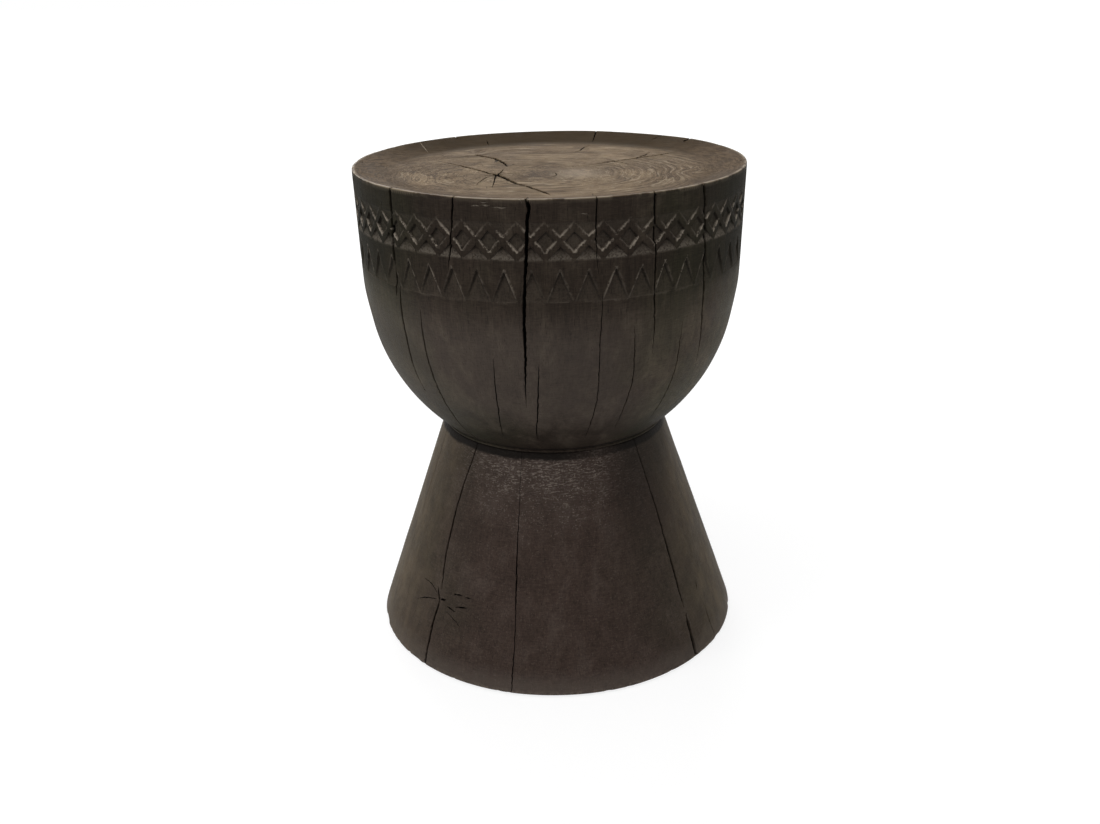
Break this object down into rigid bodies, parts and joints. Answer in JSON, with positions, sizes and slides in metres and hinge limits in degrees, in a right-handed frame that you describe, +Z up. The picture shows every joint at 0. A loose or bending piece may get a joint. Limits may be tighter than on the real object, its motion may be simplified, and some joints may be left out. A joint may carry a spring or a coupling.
{
  "type": "drum table",
  "caption": "Low round side table shaped like a drum: a bowl with a dished top, a carved lattice and saw-tooth band, on a flared conical foot.",
  "frame": {"origin": "on the floor, under the middle of the table", "axes": "+Z up along the table's axis, -Y towards the front shown in the picture"},
  "size_m": [0.354, 0.354, 0.45],
  "materials": {
    "bowl_wood": "dark stained, worn satin",
    "foot_wood": "dark stained, worn satin",
    "pad_felt": "pressed felt"
  },
  "bodies": {
    "root": {"drum_bowl": "bowl_wood", "flared_foot": "foot_wood", "back_right_felt_pad": "pad_felt", "front_right_felt_pad": "pad_felt", "front_left_felt_pad": "pad_felt", "back_left_felt_pad": "pad_felt"}
  },
  "joints": []
}
